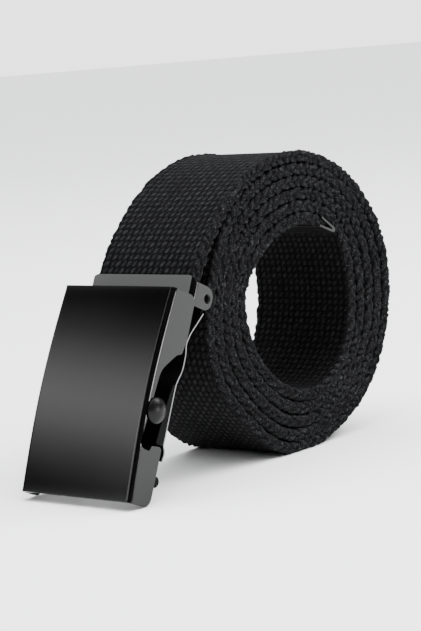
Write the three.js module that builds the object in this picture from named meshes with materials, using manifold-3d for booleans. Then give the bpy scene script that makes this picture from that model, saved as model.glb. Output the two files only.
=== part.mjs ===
import * as THREE from 'three';
import { mergeVertices } from 'three/addons/utils/BufferGeometryUtils.js';
import Module from 'manifold-3d';

// A canvas web belt rolled up on its edge, with its metal box buckle leaning on the outside
// of the roll. Millimetres: Y runs along the roll's axis and Z is up. The origin is the
// middle of the flat stretch on which the roll rests. X points from the buckle to the roll.

// Webbing and the way it is rolled
const webWidth = 38.4;
const webThickness = 2.9;
const selvedgeChamfer = 0.5;
const holeRadius = 25;
const turnGap = 1.0;
const wholeTurns = 5;
const startAngle = 66;
const leaveAngle = 90;
const restAngle = 261;
const settle = 0.5;
const ringStep = 10;
const tongueLength = 3;
const tongueThickness = 1.5;

// The lead from the roll to the buckle
const leadStraight = 9;
const webEndDown = 2;
const leadFirstPull = 0.52;
const leadLastPull = 0.06;
const leadRings = 12;

// Tip clip folded over the inner end of the webbing
const clipLength = 8;
const clipSheet = 0.7;
const clipNose = 1.6;
const clipOverhang = 0.2;
const clipTurn = 10;

// Clearances
const touchGap = 0.3;
const runGap = 0.3;
const webSide = 0.4;
const webFit = 0.6;
const leanGap = 0.4;

// Sheet metal of the box and of the bracket's ears, and the box's size. Its width follows from
// the webbing, which runs between the ears, which stand between the side walls.
const boxSheet = 0.8;
const bracketSheet = 0.8;
const boxWidth = webWidth + 2 * (webSide + bracketSheet + touchGap + boxSheet);
const boxLength = 62.4;
const boxDepth = 9.9;
const footDepth = 8.5;
const boxBend = 1.1;
const faceBow = 1.7;
const boxLean = 25.07;
const boxFootRound = 3;
const boxTopRound = 2.6;

// Cross bar near the lower end of the box, measured up from the foot
const crossBarRadius = 1.65;
const crossBarUp = 8;
const crossBarBack = 10;

// Lock bar, and the channel that it slides in: its seat lies above the cross bar
const barRadius = 2;
const barSeatUp = 10.05;
const barSeatBack = 1.8;
const barSlope = 6;
const barTravelDown = 9;
const barTravelUp = 9.5;
const knobRadius = 3.75;
const knobRim = 0.7;
const knobDome = 1.3;
const peenLip = 0.7;
const peenThickness = 0.4;
const mouthRise = 11.7;

// End bracket: a plate between the side walls, with an ear bent back at each side
const bracketFront = 9.2;
const bracketRise = 6.3;
const bracketClear = 2.7;
const bracketCorner = 3;
const bracketBend = 1.3;
const earUpper = 4.6;
const earLower = 2.4;
const earReach = 2.35;
const earRound = 3.2;

// Clamp pin and the clamp lever that turns on it
const pinRadius = 1.2;
const pinUp = 1.15;
const knuckleWall = 0.6;
const heelRise = 0.25;
const heelHalf = 0.6;
const leverSheet = 0.8;
const leverFootGap = 4.5;
const leverBack = 10.3;
const leverJoggle = 1.6;
const leverKneeRise = 3.4;
const leverLip = 1;
const flangeTopDepth = 1.1;
const flangeFootDepth = 3.4;

// The roll is not round. A row for each thirty degrees round it: hole is the hole's radius
// as a share of holeRadius, slack is the gap between turns as a share of turnGap.
const rollShape = [
  { angle: 15, hole: 0.855, slack: 1.92 },
  { angle: 45, hole: 1.024, slack: 0.96 },
  { angle: 75, hole: 1.038, slack: 0.8 },
  { angle: 105, hole: 0.983, slack: 1.09 },
  { angle: 135, hole: 1.001, slack: 1.11 },
  { angle: 165, hole: 1.093, slack: 0.58 },
  { angle: 195, hole: 1.002, slack: 1.39 },
  { angle: 225, hole: 0.946, slack: 1.09 },
  { angle: 255, hole: 0.936, slack: 1.3 },
  { angle: 285, hole: 0.97, slack: 0.55 },
  { angle: 315, hole: 0.911, slack: 1.0 },
  { angle: 345, hole: 0.843, slack: 1.63 },
];

const { degToRad, euclideanModulo } = THREE.MathUtils;
const wasm = await Module();
wasm.setup();

// Solids, joins and cuts

function toSolid(geometry) {
  const bare = geometry.clone();
  bare.deleteAttribute('normal');
  bare.deleteAttribute('uv');
  const merged = mergeVertices(bare, 1e-5);
  const mesh = new wasm.Mesh({
    numProp: 3,
    vertProperties: new Float32Array(merged.attributes.position.array),
    triVerts: new Uint32Array(merged.index.array),
  });
  return new wasm.Manifold(mesh);
}

function toGeometry(solid) {
  const mesh = solid.getMesh();
  const geometry = new THREE.BufferGeometry();
  geometry.setAttribute('position', new THREE.BufferAttribute(mesh.vertProperties, 3));
  geometry.setIndex(new THREE.BufferAttribute(mesh.triVerts, 1));
  geometry.computeVertexNormals();
  return geometry;
}

// A closed body through rings of points that all match the flat outline given for its ends.
// The outline runs anticlockwise seen from the end that the rings lead towards.
function loft(rings, outline) {
  const positions = rings.flatMap((ring) => ring.flatMap((point) => point.toArray()));
  const count = outline.length;
  const faces = [];
  for (let row = 0; row + 1 < rings.length; row += 1) {
    for (let k = 0; k < count; k += 1) {
      const a = row * count + k;
      const b = row * count + ((k + 1) % count);
      faces.push(a, b, b + count, a, b + count, a + count);
    }
  }
  const last = (rings.length - 1) * count;
  for (const [a, b, c] of THREE.ShapeUtils.triangulateShape(outline, [])) {
    faces.push(a, c, b, last + a, last + b, last + c);
  }
  const geometry = new THREE.BufferGeometry();
  geometry.setAttribute('position', new THREE.Float32BufferAttribute(positions, 3));
  geometry.setIndex(faces);
  geometry.computeVertexNormals();
  return geometry;
}

// A flat outline with its corners rounded: each point is [along, across, radius].
function roundedShape(points) {
  const shape = new THREE.Shape();
  points.forEach(([along, across, radius], k) => {
    const corner = new THREE.Vector2(along, across);
    const before = points[(k + points.length - 1) % points.length];
    const after = points[(k + 1) % points.length];
    const toBefore = new THREE.Vector2(before[0], before[1]).sub(corner);
    const toAfter = new THREE.Vector2(after[0], after[1]).sub(corner);
    const opening = toBefore.angleTo(toAfter);
    const room = 0.48 * Math.min(toBefore.length(), toAfter.length());
    const cut = Math.min(radius / Math.tan(opening / 2), room);
    const enter = corner.clone().add(toBefore.setLength(cut));
    const leave = corner.clone().add(toAfter.setLength(cut));
    if (k === 0) shape.moveTo(enter.x, enter.y);
    else shape.lineTo(enter.x, enter.y);
    if (radius === 0) return;
    const handle = (4 / 3) * Math.tan((Math.PI - opening) / 4) * Math.tan(opening / 2);
    const first = enter.clone().lerp(corner, handle);
    const second = leave.clone().lerp(corner, handle);
    shape.bezierCurveTo(first.x, first.y, second.x, second.y, leave.x, leave.y);
  });
  shape.closePath();
  return shape;
}

// An outline drawn down and back on the buckle's side, made solid across its width.
function acrossWidth(shape, from, to, curveSegments = 4) {
  const geometry = new THREE.ExtrudeGeometry(shape, {
    depth: to - from,
    bevelEnabled: false,
    curveSegments,
  });
  geometry.rotateX(Math.PI / 2);
  geometry.translate(0, to, 0);
  return geometry;
}

function rod(radius, from, to, down, back, sides) {
  const geometry = new THREE.CylinderGeometry(radius, radius, to - from, sides);
  geometry.translate(down, (from + to) / 2, back);
  return geometry;
}

// The centre line of the webbing

function rollShapeAt(angle, column) {
  const step = 360 / rollShape.length;
  const place = euclideanModulo(angle - rollShape[0].angle, 360) / step;
  const row = Math.floor(place);
  const share = place - row;
  const value = (k) => rollShape[(row + k + rollShape.length) % rollShape.length][column];
  const [a, b, c, d] = [value(-1), value(0), value(1), value(2)];
  const rise = (c - a) / 2;
  const fall = (d - b) / 2;
  const bend = 3 * (c - b) - 2 * rise - fall;
  const twist = 2 * (b - c) + rise + fall;
  return b + share * (rise + share * (bend + share * twist));
}

function centreRadius(turned) {
  const angle = startAngle + turned;
  const pitch = webThickness + turnGap * rollShapeAt(angle, 'slack');
  return holeRadius * rollShapeAt(angle, 'hole') + webThickness / 2 + (pitch * turned) / 360;
}

const lastTurnAt = (angle) => (wholeTurns - 1) * 360 + angle - startAngle;
const restRadius = centreRadius(lastTurnAt(restAngle));
const rollX = -restRadius * Math.cos(degToRad(restAngle));
const rollZ = -restRadius * Math.sin(degToRad(restAngle)) + webThickness / 2 - settle;

function rollPoint(turned) {
  const angle = degToRad(startAngle + turned);
  const radius = centreRadius(turned);
  const z = rollZ + radius * Math.sin(angle);
  return new THREE.Vector2(rollX + radius * Math.cos(angle), Math.max(z, webThickness / 2));
}

// Through the buckle's top from front to back: bracket plate, webbing, heel, knuckle and pin.
const bracketBack = bracketFront + bracketSheet;
const webBack = bracketBack + webFit + webThickness / 2;
const knuckleRadius = pinRadius + runGap + knuckleWall;
const heelReach = knuckleRadius + heelRise;
const pinBack = webBack + webThickness / 2 + touchGap + heelReach;

// The buckle leans on the roll: its knuckle nearly touches the outer turn, its foot the floor.
const lean = degToRad(boxLean);
const leanTouch = 170;
const touchRadius = centreRadius(lastTurnAt(leanTouch)) + webThickness / 2;
const outerLeft = rollX + touchRadius * Math.cos(degToRad(leanTouch));
const pinX = outerLeft - leanGap - knuckleRadius;
const buckleX = pinX - pinUp * Math.sin(lean) - pinBack * Math.cos(lean);
const footCentreDown = boxLength - boxFootRound;
const footCentreBack = footDepth - boxFootRound;
const buckleZ = footCentreDown * Math.cos(lean) + footCentreBack * Math.sin(lean) + boxFootRound;

const buckleAt = (down, back) => new THREE.Vector2(
  buckleX - down * Math.sin(lean) + back * Math.cos(lean),
  buckleZ - down * Math.cos(lean) - back * Math.sin(lean),
);

function centreLine() {
  const points = [];
  const total = wholeTurns * 360 + leaveAngle - startAngle;
  for (let turned = 0; turned < total; turned += ringStep) points.push(rollPoint(turned));
  const start = rollPoint(total);
  const heading = start.clone().sub(rollPoint(total - 1)).normalize();
  const end = buckleAt(webEndDown - leadStraight, webBack);
  const down = buckleAt(webEndDown, webBack).sub(end).normalize();
  const span = start.distanceTo(end);
  const lead = new THREE.CubicBezierCurve(
    start,
    start.clone().addScaledVector(heading, leadFirstPull * span),
    end.clone().addScaledVector(down, -leadLastPull * span),
    end,
  );
  points.push(...lead.getSpacedPoints(leadRings), buckleAt(webEndDown, webBack));
  return points;
}

// Pieces

const webMaterial = new THREE.MeshStandardMaterial({ color: 0x1b1b1d, roughness: 0.95, metalness: 0 });
const faceMaterial = new THREE.MeshStandardMaterial({ color: 0x0b0b0d, roughness: 0.15, metalness: 0.2 });
const satinMaterial = new THREE.MeshStandardMaterial({ color: 0x26272b, roughness: 0.35, metalness: 0.5 });
const clipMaterial = new THREE.MeshStandardMaterial({ color: 0x8a8c90, roughness: 0.35, metalness: 0.9 });

function named(name, geometry, material) {
  const mesh = new THREE.Mesh(geometry, material);
  mesh.name = name;
  return mesh;
}

function sectionOutline(halfWidth, halfThickness, chamfer) {
  const w = halfWidth - chamfer;
  const h = Math.max(halfThickness - chamfer, halfThickness / 3);
  return [
    new THREE.Vector2(halfWidth, h), new THREE.Vector2(w, halfThickness),
    new THREE.Vector2(-w, halfThickness), new THREE.Vector2(-halfWidth, h),
    new THREE.Vector2(-halfWidth, -h), new THREE.Vector2(-w, -halfThickness),
    new THREE.Vector2(w, -halfThickness), new THREE.Vector2(halfWidth, -h),
  ];
}

// The inner end is squeezed to a tongue that the tip clip holds.
function makeWebbing() {
  const line = centreLine();
  const back = line[0].clone().sub(line[1]).normalize();
  back.rotateAround(new THREE.Vector2(), -degToRad(clipTurn));
  const path = [line[0].clone().addScaledVector(back, tongueLength), ...line];
  const rings = path.map((point, k) => {
    const before = path[Math.max(k - 1, 0)];
    const after = path[Math.min(k + 1, path.length - 1)];
    const along = after.clone().sub(before).normalize();
    const out = new THREE.Vector2(along.y, -along.x);
    const flat = Math.abs(point.y - webThickness / 2) < 1e-9;
    if (flat) out.set(0, -1);
    const thickness = [tongueThickness / 3, tongueThickness][k] ?? webThickness;
    return sectionOutline(webWidth / 2, thickness / 2, selvedgeChamfer).map(({ x, y }) => (
      new THREE.Vector3(point.x + out.x * y, -x, point.y + out.y * y)));
  });
  return named('webbing', loft(rings, sectionOutline(webWidth / 2, webThickness / 2, selvedgeChamfer)), webMaterial);
}

// A strip of sheet metal drawn along its middle line, given as points down and back.
function sheetStrip(points, thickness, from, to) {
  const middle = points.map(([down, back]) => new THREE.Vector2(down, back));
  const side = (sign) => middle.map((point, k) => {
    const arrive = point.clone().sub(middle[Math.max(k - 1, 0)]).normalize();
    const depart = middle[Math.min(k + 1, middle.length - 1)].clone().sub(point).normalize();
    const along = arrive.clone().add(depart).normalize();
    const mitre = 1 / Math.max(along.dot(k === 0 ? depart : arrive), 0.5);
    return point.clone().addScaledVector(new THREE.Vector2(-along.y, along.x), (sign * mitre * thickness) / 2);
  });
  return acrossWidth(new THREE.Shape([...side(1), ...side(-1).reverse()]), from, to);
}

// The tip clip is a folded V of sheet metal round the tongue, closed at its nose.
function makeTipClip() {
  const line = centreLine();
  const start = line[0];
  const back = line[0].clone().sub(line[1]).normalize();
  back.rotateAround(new THREE.Vector2(), -degToRad(clipTurn));
  const mouth = tongueThickness / 2 + touchGap;
  const outer = mouth + clipSheet;
  const nose = clipNose / 2;
  const inside = clipLength - clipNose;
  const shape = roundedShape([
    [0, outer, 0],
    [clipLength, nose, nose],
    [clipLength, -nose, nose],
    [0, -outer, 0],
    [0, -mouth, 0],
    [inside, -nose / 4, 0],
    [inside, nose / 4, 0],
    [0, mouth, 0],
  ]);
  const half = webWidth / 2 + clipOverhang;
  const geometry = acrossWidth(shape, -half, half);
  const mesh = named('tip_clip', geometry, clipMaterial);
  mesh.rotation.y = -Math.atan2(back.y, back.x);
  const seat = start.clone().addScaledVector(back, touchGap);
  mesh.position.set(seat.x, 0, seat.y);
  return mesh;
}

// The face bows forward between its straight ends.
const faceAt = (down) => -faceBow * Math.sin((Math.PI * down) / boxLength);

const halfBox = boxWidth / 2;
const innerHalf = halfBox - boxSheet;

// The bent sheet seen from its end: side wall, bend, face, bend, side wall.
function boxSection(face) {
  const bendSteps = 3;
  const back = boxDepth + 1;
  const side = (offset) => {
    const radius = boxBend - offset;
    const points = [new THREE.Vector2(halfBox - offset, back)];
    for (let k = 0; k <= bendSteps; k += 1) {
      const turn = (k / bendSteps) * (Math.PI / 2);
      points.push(new THREE.Vector2(
        halfBox - boxBend + radius * Math.cos(turn),
        face + boxBend - radius * Math.sin(turn),
      ));
    }
    return points;
  };
  const mirrored = (points) => points.map(({ x, y }) => new THREE.Vector2(-x, y)).reverse();
  const outside = side(0);
  const inside = side(boxSheet);
  return [...inside, ...mirrored(inside), ...[...outside, ...mirrored(outside)].reverse()];
}

// A place in the channel: how far down it the bar has travelled from where it rests, and how
// far in front of the bar's axis the place lies.
const slope = degToRad(barSlope);
const crossBarDown = boxLength - crossBarUp;
const barRestDown = crossBarDown - barSeatUp - barTravelDown * Math.cos(slope);
const barRestBack = barSeatBack + barTravelDown * Math.sin(slope);
const channelAt = (travel, ahead) => [
  barRestDown + travel * Math.cos(slope) - ahead * Math.sin(slope),
  barRestBack - travel * Math.sin(slope) - ahead * Math.cos(slope),
];
const [lowDown, lowBack] = channelAt(barTravelDown, 0);
const [highDown, highBack] = channelAt(-barTravelUp, 0);
const mouthDown = highDown - mouthRise;

// The side walls' outline: foot, seat for the lock bar, channel, mouth at the back, top.
function sideOutline() {
  const room = barRadius + runGap;
  const front = -boxDepth;
  return roundedShape([
    [0, front, 0],
    [boxLength, front, 0],
    [boxLength, footDepth, boxFootRound],
    [lowDown + room * 0.1, footDepth, 1.2],
    [lowDown + room * 0.4, lowBack + room * 1.05, 0.4],
    [lowDown + room * 1.1, lowBack + room * 0.8, 0.6],
    [...channelAt(barTravelDown + room * 1.1, room), room * 0.95],
    [...channelAt(-barTravelUp - room * 0.8, room), room * 3],
    [highDown - room * 3.4, highBack + room * 1.4, room * 1.3],
    [mouthDown + room * 1.4, boxDepth - 1, 0.9],
    [mouthDown + room * 0.15, boxDepth - 0.4, 0.4],
    [mouthDown, boxDepth, 0],
    [0, boxDepth, boxTopRound],
  ]);
}

function makeBuckleBox() {
  const stations = 14;
  const overrun = 1;
  const rings = [];
  for (let k = 0; k <= stations; k += 1) {
    const down = -overrun + ((boxLength + 2 * overrun) * k) / stations;
    rings.push(boxSection(faceAt(down)).map(({ x, y }) => new THREE.Vector3(down, x, y)));
  }
  const channel = toSolid(loft(rings, boxSection(0)));
  const trimmed = channel.intersect(toSolid(acrossWidth(sideOutline(), -halfBox - 1, halfBox + 1)));
  return named('buckle_box', toGeometry(trimmed), faceMaterial);
}

// The plate and its two ears, cut from one bent section by a front and a side outline.
function makeEndBracket() {
  const half = innerHalf - touchGap;
  const inner = half - bracketSheet;
  const earEnd = pinBack + earReach;
  const bracketReach = mouthDown - bracketClear;
  const section = roundedShape([
    [-half, earEnd, 0],
    [-half, bracketFront, bracketBend],
    [half, bracketFront, bracketBend],
    [half, earEnd, 0],
    [inner, earEnd, 0],
    [inner, bracketBack, bracketBend / 2],
    [-inner, bracketBack, bracketBend / 2],
    [-inner, earEnd, 0],
  ]);
  const bent = new THREE.ExtrudeGeometry(section, {
    depth: bracketRise + bracketReach, bevelEnabled: false, curveSegments: 3,
  });
  bent.applyMatrix4(new THREE.Matrix4().makeBasis(
    new THREE.Vector3(0, 1, 0),
    new THREE.Vector3(0, 0, 1),
    new THREE.Vector3(1, 0, 0),
  ));
  bent.translate(-bracketRise, 0, 0);
  const side = roundedShape([
    [-bracketRise, bracketFront - 1, 0],
    [bracketReach, bracketFront - 1, 0],
    [bracketReach, bracketBack, 0],
    [earLower, bracketBack, 0],
    [earLower, earEnd, earRound],
    [-earUpper, earEnd, earRound],
    [-earUpper, bracketBack, 0],
    [-bracketRise, bracketBack, 0],
  ]);
  const front = roundedShape([
    [-bracketRise, -half, bracketCorner],
    [bracketReach, -half, 0],
    [bracketReach, half, 0],
    [-bracketRise, half, bracketCorner],
  ]);
  const frontSolid = new THREE.ExtrudeGeometry(front, {
    depth: earEnd - bracketFront + 2, bevelEnabled: false, curveSegments: 4,
  });
  frontSolid.translate(0, 0, bracketFront - 1);
  const hole = toSolid(rod(pinRadius + touchGap, -half - 1, half + 1, -pinUp, pinBack, 16));
  const solid = toSolid(bent)
    .intersect(toSolid(acrossWidth(side, -half - 1, half + 1)))
    .intersect(toSolid(frontSolid))
    .subtract(hole);
  return named('end_bracket', toGeometry(solid), satinMaterial);
}

function makeClampPin() {
  const half = innerHalf - touchGap;
  return named('clamp_pin', rod(pinRadius, -half, half, -pinUp, pinBack, 12), satinMaterial);
}

// A knuckle round the pin, the joggled plate that closes the buckle's back, and two flanges.
function makeClampLever() {
  const wide = innerHalf - touchGap;
  const narrow = webWidth / 2;
  const knuckle = rod(knuckleRadius, -narrow, narrow, -pinUp, pinBack, 20);
  const heelTip = pinBack - Math.sqrt(heelReach ** 2 - heelHalf ** 2);
  const heel = roundedShape([
    [-pinUp - knuckleRadius * 0.7, pinBack, 0],
    [-pinUp - heelHalf, heelTip, 0],
    [-pinUp + heelHalf, heelTip, 0],
    [-pinUp + knuckleRadius * 0.7, pinBack, 0],
  ]);
  const tangentBack = pinBack + knuckleRadius - leverSheet / 2;
  const flangeStart = highDown + runGap;
  const flangeEnd = lowDown - runGap;
  const leverEnd = crossBarDown - crossBarRadius - leverFootGap;
  const steps = flangeStart - mouthDown;
  const plate = sheetStrip([
    [-pinUp + 0.3, tangentBack],
    [mouthDown - leverKneeRise, leverBack + leverJoggle],
    [mouthDown - leverKneeRise * 0.1, leverBack + leverJoggle * 0.5],
    [mouthDown + steps * 0.2, leverBack + leverJoggle],
    [mouthDown + steps * 0.6, leverBack + leverJoggle],
    [flangeStart - leverSheet, leverBack],
    [flangeEnd, leverBack],
    [flangeEnd + leverLip, leverBack + leverLip * 0.8],
    [(flangeEnd + leverEnd) / 2, leverBack + leverLip],
    [leverEnd, leverBack + leverLip * 0.7],
  ], leverSheet, -wide, wide);
  const flange = roundedShape([
    [flangeStart, leverBack, 0],
    [flangeStart, leverBack - flangeTopDepth, 0.5],
    [flangeStart + steps * 0.4, leverBack - flangeTopDepth - 0.9, 2],
    [flangeEnd, leverBack - flangeFootDepth, 0.6],
    [flangeEnd, leverBack, 0],
  ]);
  const earRoom = Math.hypot(earLower + pinUp, earReach) + runGap;
  const clear = (from, to) => toSolid(rod(earRoom, from, to, -pinUp, pinBack, 24));
  const solid = toSolid(plate)
    .subtract(clear(narrow, wide + 1))
    .subtract(clear(-wide - 1, -narrow))
    .add(toSolid(knuckle))
    .add(toSolid(acrossWidth(heel, -narrow, narrow)))
    .add(toSolid(acrossWidth(flange, wide - leverSheet, wide)))
    .add(toSolid(acrossWidth(flange, -wide, -wide + leverSheet)))
    .subtract(toSolid(rod(pinRadius + runGap, -wide - 1, wide + 1, -pinUp, pinBack, 16)));
  return named('clamp_lever', toGeometry(solid), satinMaterial);
}

// A round bar with a domed knob outside the near side wall and a low peened head outside the far one.
function makeLockBar() {
  const start = halfBox + runGap;
  const rim = start + knobRim;
  const domeSteps = 4;
  const knob = [new THREE.Vector2(barRadius, start), new THREE.Vector2(knobRadius, start)];
  for (let k = 0; k < domeSteps; k += 1) {
    const turn = (k / domeSteps) * (Math.PI / 2);
    knob.push(new THREE.Vector2(knobRadius * Math.cos(turn), rim + knobDome * Math.sin(turn)));
  }
  knob.push(new THREE.Vector2(0, rim + knobDome));
  const nearEnd = knob.map(({ x, y }) => new THREE.Vector2(x, -y)).reverse();
  const farEnd = [
    new THREE.Vector2(barRadius, start),
    new THREE.Vector2(barRadius + peenLip, start),
    new THREE.Vector2(barRadius + peenLip, start + peenThickness),
    new THREE.Vector2(0, start + peenThickness),
  ];
  const geometry = new THREE.LatheGeometry([...nearEnd, ...farEnd], 16);
  geometry.translate(barRestDown, 0, barRestBack);
  return named('lock_bar', geometry, satinMaterial);
}

function makeCrossBar() {
  const half = innerHalf - touchGap;
  const geometry = rod(crossBarRadius, -half, half, crossBarDown, crossBarBack, 14);
  return named('cross_bar', geometry, satinMaterial);
}

const buckle = new THREE.Group();
buckle.position.set(buckleX, 0, buckleZ);
buckle.rotation.y = Math.PI / 2 + lean;
buckle.add(makeBuckleBox(), makeEndBracket(), makeClampPin(), makeClampLever(), makeLockBar(), makeCrossBar());

const group = new THREE.Group();
group.name = 'web_belt';
group.add(makeWebbing(), makeTipClip(), buckle);

export default group;
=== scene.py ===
import math

import bpy
import numpy as np
from mathutils import Matrix, Vector


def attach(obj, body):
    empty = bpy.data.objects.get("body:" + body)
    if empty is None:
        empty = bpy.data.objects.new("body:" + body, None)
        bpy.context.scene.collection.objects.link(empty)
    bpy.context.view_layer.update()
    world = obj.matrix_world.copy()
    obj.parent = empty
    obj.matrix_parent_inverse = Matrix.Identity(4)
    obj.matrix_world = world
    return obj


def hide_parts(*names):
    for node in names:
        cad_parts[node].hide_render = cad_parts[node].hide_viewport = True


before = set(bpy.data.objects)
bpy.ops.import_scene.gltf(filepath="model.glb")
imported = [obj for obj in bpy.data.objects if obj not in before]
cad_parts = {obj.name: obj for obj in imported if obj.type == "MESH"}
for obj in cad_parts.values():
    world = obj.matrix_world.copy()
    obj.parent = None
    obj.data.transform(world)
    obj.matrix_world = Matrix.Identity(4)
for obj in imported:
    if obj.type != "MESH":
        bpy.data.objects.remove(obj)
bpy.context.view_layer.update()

# Camera: a long lens, a little above the table, looking across the buckle's face and along
# the near edge of the roll.
shot = bpy.data.cameras.new("shot")
shot.sensor_width = 36
shot.lens = 115.07
shot.clip_start, shot.clip_end = 0.05, 20
camera = bpy.data.objects.new("camera", shot)
bpy.context.scene.collection.objects.link(camera)
right = Vector((0.63527093, -0.76783742, -0.08280427))
up = Vector((0.1541773, 0.0210314, 0.98781934))
back = Vector((-0.75674315, -0.64029944, 0.13174374))
turn = Matrix((right, up, back)).transposed()
camera.matrix_world = Matrix.Translation((-0.481419, -0.394322, 0.125317)) @ turn.to_4x4()
bpy.context.scene.camera = camera


# Table and studio: a pale matt table in a room that is pale to the camera and mostly dark to
# glossy surfaces. Soft lights stand above and at the sides, two thin cards brighten the edges,
# and a strip with a fading glow is mirrored across the buckle's face.
def deselect():
    if bpy.context.mode != "OBJECT":
        bpy.ops.object.mode_set(mode="OBJECT")
    bpy.ops.object.select_all(action="DESELECT")


deselect()
bpy.ops.mesh.primitive_plane_add(size=80, location=(0, 0, -0.0002))
table = bpy.context.object
table.name = "table_top"
paper = bpy.data.materials.new("pale_table")
paper.use_nodes = True
paper_skin = paper.node_tree.nodes["Principled BSDF"]
paper_skin.inputs["Base Color"].default_value = (0.93, 0.93, 0.93, 1)
paper_skin.inputs["Roughness"].default_value = 0.8
paper_skin.inputs["Specular IOR Level"].default_value = 0.1
table.data.materials.append(paper)

studio = bpy.data.worlds.new("studio")
bpy.context.scene.world = studio
studio.use_nodes = True
sky = studio.node_tree
sky.nodes.clear()
paper_white = sky.nodes.new("ShaderNodeBackground")
paper_white.inputs["Strength"].default_value = 3.5
room_light = sky.nodes.new("ShaderNodeBackground")
room_light.inputs["Color"].default_value = (0.97, 0.985, 1, 1)
dark_room = sky.nodes.new("ShaderNodeBackground")
height = sky.nodes.new("ShaderNodeSeparateXYZ")
direction = sky.nodes.new("ShaderNodeTexCoord").outputs["Generated"]
sky.links.new(direction, height.inputs[0])
toward_sweep = sky.nodes.new("ShaderNodeVectorMath")
toward_sweep.operation = "DOT_PRODUCT"
toward_sweep.inputs[1].default_value = (0.72, 0.66, -0.2)
sky.links.new(direction, toward_sweep.inputs[0])
sweep = sky.nodes.new("ShaderNodeMapRange")
sweep.interpolation_type = "SMOOTHSTEP"
sweep.inputs["From Min"].default_value = 0.55
sweep.inputs["From Max"].default_value = 0.85
sweep.inputs["To Min"].default_value = 0.004
sweep.inputs["To Max"].default_value = 3.0
sky.links.new(toward_sweep.outputs["Value"], sweep.inputs["Value"])
sky.links.new(sweep.outputs["Result"], dark_room.inputs["Strength"])
ceiling = sky.nodes.new("ShaderNodeMapRange")
ceiling.interpolation_type = "SMOOTHSTEP"
ceiling.inputs["From Min"].default_value = 0.45
ceiling.inputs["From Max"].default_value = 0.95
ceiling.inputs["To Min"].default_value = 0.0
ceiling.inputs["To Max"].default_value = 4.6
sky.links.new(height.outputs["Z"], ceiling.inputs["Value"])
sky.links.new(ceiling.outputs["Result"], room_light.inputs["Strength"])
rays = sky.nodes.new("ShaderNodeLightPath")
gloss_or_room = sky.nodes.new("ShaderNodeMixShader")
seen_or_lit = sky.nodes.new("ShaderNodeMixShader")
world_out = sky.nodes.new("ShaderNodeOutputWorld")
sky.links.new(rays.outputs["Is Glossy Ray"], gloss_or_room.inputs["Fac"])
sky.links.new(room_light.outputs[0], gloss_or_room.inputs[1])
sky.links.new(dark_room.outputs[0], gloss_or_room.inputs[2])
sky.links.new(rays.outputs["Is Camera Ray"], seen_or_lit.inputs["Fac"])
sky.links.new(gloss_or_room.outputs[0], seen_or_lit.inputs[1])
sky.links.new(paper_white.outputs[0], seen_or_lit.inputs[2])
sky.links.new(seen_or_lit.outputs[0], world_out.inputs["Surface"])


def soft_light(name, place, aim, size, watts, long_side=None, mirrored=True):
    lamp = bpy.data.lights.new(name, "AREA")
    lamp.shape = "RECTANGLE"
    lamp.size, lamp.size_y = size
    lamp.energy = watts
    holder = bpy.data.objects.new(name, lamp)
    bpy.context.scene.collection.objects.link(holder)
    away = (Vector(place) - Vector(aim)).normalized()
    side = Vector(long_side or Vector((0, 0, 1)).cross(away)).normalized()
    turn = Matrix((side, away.cross(side), away)).transposed().to_4x4()
    holder.matrix_world = Matrix.Translation(place) @ turn
    holder.visible_glossy = mirrored
    return holder


soft_light("overhead", (0.0, 0.1, 1.1), (0, 0.1, 0.04), (1.2, 1.2), 12, (1, 0, 0))
soft_light("near_side", (0.1, -0.8, 0.95), (0, 0, 0.04), (0.9, 0.5), 6, mirrored=False)
soft_light("left_side", (-0.5, -0.9, 0.9), (0, 0, 0.04), (0.6, 0.5), 4, mirrored=False)
soft_light("right_side", (0.75, -0.55, 0.95), (0, 0, 0.04), (0.6, 0.6), 16)
soft_light("edge_card", (0.3, -1.15, 0.12), (0, 0, 0.04), (0.35, 0.14), 6)
soft_light("left_line", (-0.78, 0.46, 0.62), (-0.06, -0.02, 0.03), (0.9, 0.05), 1.0, (0.469, -0.31, 0.827))
strip_place = Vector((-0.833, 0.8763, 0.5732))
strip_light = soft_light(
    "face_strip", strip_place, strip_place + Vector((0.8137, 0, -0.5814)), (1.7, 0.6), 6.6,
    (-0.1366, -0.972, -0.1912)).data
strip_light.use_nodes = True
glow = strip_light.node_tree
across = glow.nodes.new("ShaderNodeSeparateXYZ")
glow.links.new(glow.nodes.new("ShaderNodeNewGeometry").outputs["Parametric"], across.inputs[0])
fade = glow.nodes.new("ShaderNodeValToRGB")
fade.color_ramp.elements[0].position = 0.05
fade.color_ramp.elements[0].color = (0, 0, 0, 1)
fade.color_ramp.elements[1].position = 0.95
fade.color_ramp.elements[1].color = (0, 0, 0, 1)
for position, level in (
    (0.117, 0.05), (0.2, 0.28), (0.27, 0.5), (0.365, 0.82), (0.485, 1), (0.613, 0.82), (0.735, 0.51),
    (0.827, 0.22), (0.93, 0.02),
):
    fade.color_ramp.elements.new(position).color = (level, level, level, 1)
glow.links.new(across.outputs["Y"], fade.inputs["Fac"])
glow.links.new(fade.outputs["Color"], glow.nodes["Emission"].inputs["Strength"])


# Webbing: coarse cotton, plain woven about 38 mm wide and 3 mm thick, rolled up from its tip.
# Its two edges are braided selvedges. The outer turn runs down into the buckle.
web_width, web_thick = 0.0384, 0.0029
hole_radius, turn_gap, whole_turns = 0.025, 0.001, 5
start_angle, leave_angle = 66, 90

# Shares of the hole's radius and of the gap between turns, one every 30 degrees from 15 on.
hole_share = [0.855, 1.024, 1.038, 0.983, 1.001, 1.093, 1.002, 0.946, 0.936, 0.97, 0.911, 0.843]
slack_share = [1.92, 0.96, 0.8, 1.09, 1.11, 0.58, 1.39, 1.09, 1.3, 0.55, 1.0, 1.63]

buckle_top = (-0.055438, 0.059134)
buckle_lean = math.radians(25.07)


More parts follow.
